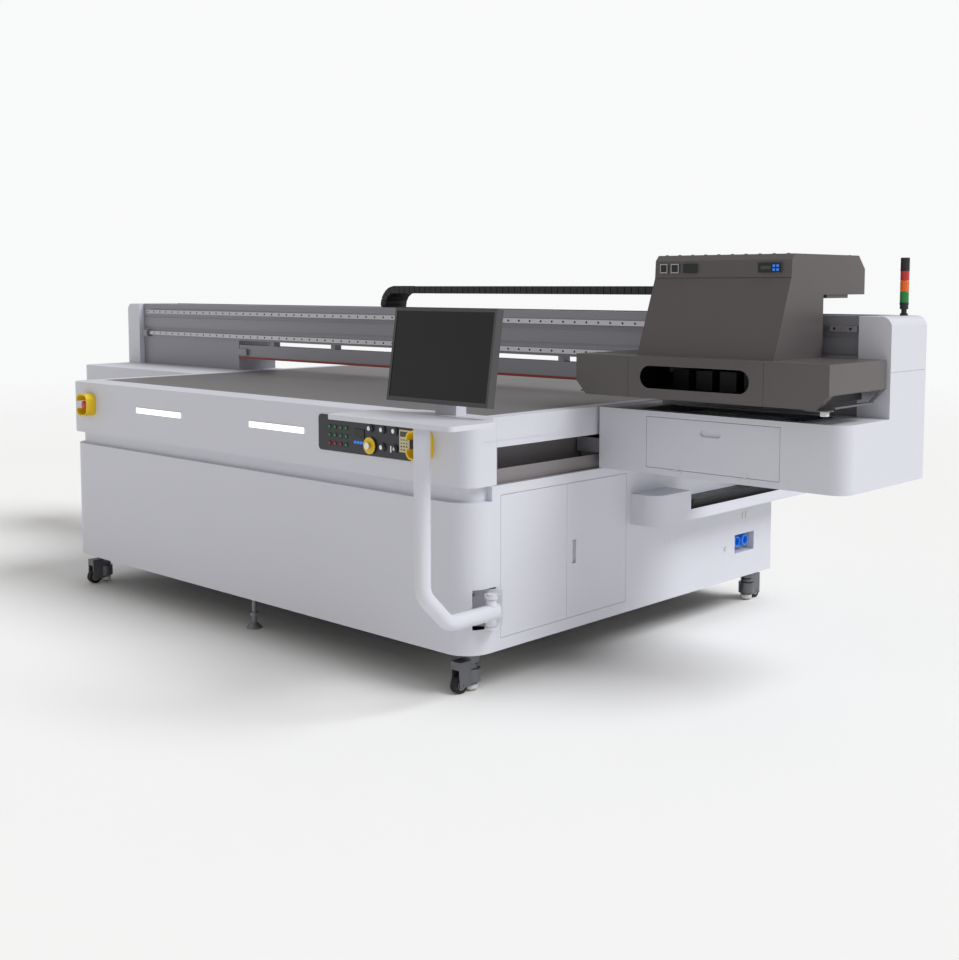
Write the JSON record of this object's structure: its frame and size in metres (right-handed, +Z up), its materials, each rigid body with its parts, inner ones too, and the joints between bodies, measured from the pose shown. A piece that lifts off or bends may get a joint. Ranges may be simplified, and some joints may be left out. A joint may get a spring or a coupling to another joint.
{
  "type": "flatbed uv printer",
  "caption": "Large-format flatbed UV printer: fixed vacuum table on a cabinet, travelling gantry with print carriage and capping station, swing-out console.",
  "frame": {"origin": "centre of the whole footprint, on the floor", "axes": "+X along the gantry to the operator's right, -Y the front with the control panel, +Z up"},
  "size_m": [4.665, 2.407, 1.498],
  "materials": {
    "frame_steel": "satin powder coat",
    "light_coat": "fine-textured powder coat",
    "dark_coat": "fine-textured powder coat",
    "table_plate": "hard-anodised, fine drilled",
    "steel": "ground",
    "aluminium": "anodised",
    "black_plastic": "matt",
    "white_plastic": "translucent matt",
    "blue_plastic": "gloss",
    "lamp_white": "lit diffuser",
    "panel_black": "fine grain",
    "yellow_plastic": "gloss",
    "red_plastic": "gloss",
    "chrome": "polished",
    "rubber": "matt",
    "screen_glass": "gloss, off",
    "red_strip": "satin",
    "lens": "translucent red, amber and green"
  },
  "bodies": {
    "base": {"base_frame": "frame_steel", "front_panel": "light_coat", "front_fascia": "light_coat", "side_panels": "light_coat", "rear_panel": "light_coat", "side_caps": "light_coat", "vacuum_table": "table_plate", "rail_channels": "dark_coat", "y_rails": "steel", "vacuum_blower": "aluminium", "electrical_cabinet": "light_coat", "ink_tanks": "white_plastic", "cable_tray": "light_coat", "power_sockets": "blue_plastic", "front_lamps": "lamp_white", "control_panel": "panel_black", "stop_guards": "yellow_plastic", "arm_bracket": "light_coat"},
    "gantry": {"gantry_beam": "aluminium", "gantry_towers": "light_coat", "station_box": "light_coat", "left_box": "light_coat", "y_saddles": "aluminium", "x_rails": "steel", "bridge_bar": "aluminium", "safety_strip": "red_strip", "stack_light_mast": "black_plastic", "stack_light_lenses": "lens"},
    "carriage": {"carriage_plate": "aluminium", "carriage_cover": "dark_coat", "carriage_hood": "dark_coat", "print_heads": "steel", "uv_lamps": "aluminium", "x_chain_upper": "black_plastic"},
    "x_chain": {"x_chain_loop": "black_plastic"},
    "side_chain": {"y_chain": "black_plastic"},
    "station_flap": {"station_door": "light_coat"},
    "capping": {"capping_tray": "steel"},
    "front_cabinet_door": {"door_front": "light_coat"},
    "rear_cabinet_door": {"door_rear": "light_coat"},
    "console": {"console_arm": "light_coat", "console_shelf": "light_coat"},
    "screen": {"monitor": "panel_black", "monitor_glass": "screen_glass"},
    "right_stop": {"stop_button_right": "red_plastic"},
    "left_stop": {"stop_button_left": "red_plastic"},
    "button_1": {"push_button_1": "chrome"},
    "button_2": {"push_button_2": "chrome"},
    "button_3": {"push_button_3": "chrome"},
    "button_4": {"push_button_4": "chrome"},
    "panel_stop": {"panel_stop_button": "chrome"},
    "key": {"key_switch": "chrome"},
    "swivel_front_right": {"caster_front_right": "frame_steel"},
    "roller_front_right": {"wheel_front_right": "rubber"},
    "swivel_front_left": {"caster_front_left": "frame_steel"},
    "roller_front_left": {"wheel_front_left": "rubber"},
    "swivel_rear_right": {"caster_rear_right": "frame_steel"},
    "roller_rear_right": {"wheel_rear_right": "rubber"},
    "swivel_rear_left": {"caster_rear_left": "frame_steel"},
    "roller_rear_left": {"wheel_rear_left": "rubber"}
  },
  "joints": [
    {"name": "gantry_travel", "type": "slide", "parent": "base", "child": "gantry", "axis": [0, 1, 0], "range_m": [-0.54, 0.48]},
    {"name": "carriage_travel", "type": "slide", "parent": "gantry", "child": "carriage", "axis": [1, 0, 0], "range_m": [-3.4, 0], "deforming": ["x_chain_upper"]},
    {"name": "x_chain_travel", "type": "slide", "parent": "gantry", "child": "x_chain", "axis": [1, 0, 0], "range_m": [-1.701, 0.001]},
    {"name": "side_chain_travel", "type": "slide", "parent": "base", "child": "side_chain", "axis": [0, 1, 0], "range_m": [-0.271, 0.241]},
    {"name": "station_flap_hinge", "type": "hinge", "parent": "gantry", "child": "station_flap", "pos_m": [1.832, -0.1275, 0.748], "axis": [1, 0, 0], "range_deg": [0, 100]},
    {"name": "capping_lift", "type": "slide", "parent": "gantry", "child": "capping", "axis": [0, 0, 1], "range_m": [0, 0.05]},
    {"name": "front_door_hinge", "type": "hinge", "parent": "base", "child": "front_cabinet_door", "pos_m": [1.3385, -0.646, 0.435], "axis": [0, 0, -1], "range_deg": [0, 90]},
    {"name": "rear_door_hinge", "type": "hinge", "parent": "base", "child": "rear_cabinet_door", "pos_m": [1.3385, 0.061, 0.435], "axis": [0, 0, 1], "range_deg": [0, 95]},
    {"name": "console_swing", "type": "hinge", "parent": "base", "child": "console", "pos_m": [1.3685, -0.7265, 0.296], "axis": [0, 0, 1], "range_deg": [0, 90]},
    {"name": "monitor_tilt", "type": "hinge", "parent": "console", "child": "screen", "pos_m": [1.3805, -0.9315, 1.13], "axis": [1, 0, 0], "range_deg": [-12, 5]},
    {"name": "right_stop_press", "type": "slide", "parent": "base", "child": "right_stop", "axis": [0, 1, 0], "range_m": [0, 0.005], "stiffness_N_per_m": 900},
    {"name": "left_stop_press", "type": "slide", "parent": "base", "child": "left_stop", "axis": [0, 1, 0], "range_m": [0, 0.005], "stiffness_N_per_m": 900},
    {"name": "button_1_press", "type": "slide", "parent": "base", "child": "button_1", "axis": [0, 1, 0], "range_m": [0, 0.003], "stiffness_N_per_m": 400},
    {"name": "button_2_press", "type": "slide", "parent": "base", "child": "button_2", "axis": [0, 1, 0], "range_m": [0, 0.003], "stiffness_N_per_m": 400},
    {"name": "button_3_press", "type": "slide", "parent": "base", "child": "button_3", "axis": [0, 1, 0], "range_m": [0, 0.003], "stiffness_N_per_m": 400},
    {"name": "button_4_press", "type": "slide", "parent": "base", "child": "button_4", "axis": [0, 1, 0], "range_m": [0, 0.003], "stiffness_N_per_m": 400},
    {"name": "panel_stop_press", "type": "slide", "parent": "base", "child": "panel_stop", "axis": [0, 1, 0], "range_m": [0, 0.004], "stiffness_N_per_m": 400},
    {"name": "key_turn", "type": "hinge", "parent": "base", "child": "key", "pos_m": [0.9885, -0.8165, 0.826], "axis": [0, -1, 0], "range_deg": [-45, 45]},
    {"name": "swivel_front_right_turn", "type": "hinge", "parent": "base", "child": "swivel_front_right", "pos_m": [1.2485, -0.7015, 0.139], "axis": [0, 0, 1], "continuous": true},
    {"name": "roller_front_right_spin", "type": "hinge", "parent": "swivel_front_right", "child": "roller_front_right", "pos_m": [1.2485, -0.7585, 0.031], "axis": [1, 0, 0], "continuous": true},
    {"name": "swivel_front_left_turn", "type": "hinge", "parent": "base", "child": "swivel_front_left", "pos_m": [-1.1475, -0.7015, 0.139], "axis": [0, 0, 1], "continuous": true},
    {"name": "roller_front_left_spin", "type": "hinge", "parent": "swivel_front_left", "child": "roller_front_left", "pos_m": [-1.1475, -0.7585, 0.031], "axis": [1, 0, 0], "continuous": true},
    {"name": "swivel_rear_right_turn", "type": "hinge", "parent": "base", "child": "swivel_rear_right", "pos_m": [1.2485, 1.0735, 0.139], "axis": [0, 0, 1], "continuous": true},
    {"name": "roller_rear_right_spin", "type": "hinge", "parent": "swivel_rear_right", "child": "roller_rear_right", "pos_m": [1.2485, 1.1305, 0.031], "axis": [1, 0, 0], "continuous": true},
    {"name": "swivel_rear_left_turn", "type": "hinge", "parent": "base", "child": "swivel_rear_left", "pos_m": [-1.1475, 1.0735, 0.139], "axis": [0, 0, 1], "continuous": true},
    {"name": "roller_rear_left_spin", "type": "hinge", "parent": "swivel_rear_left", "child": "roller_rear_left", "pos_m": [-1.1475, 1.1305, 0.031], "axis": [1, 0, 0], "continuous": true}
  ],
  "couplings": [
    {"joint": "x_chain_travel", "follows": "carriage_travel", "ratio": 0.5},
    {"joint": "side_chain_travel", "follows": "gantry_travel", "ratio": 0.5}
  ]
}
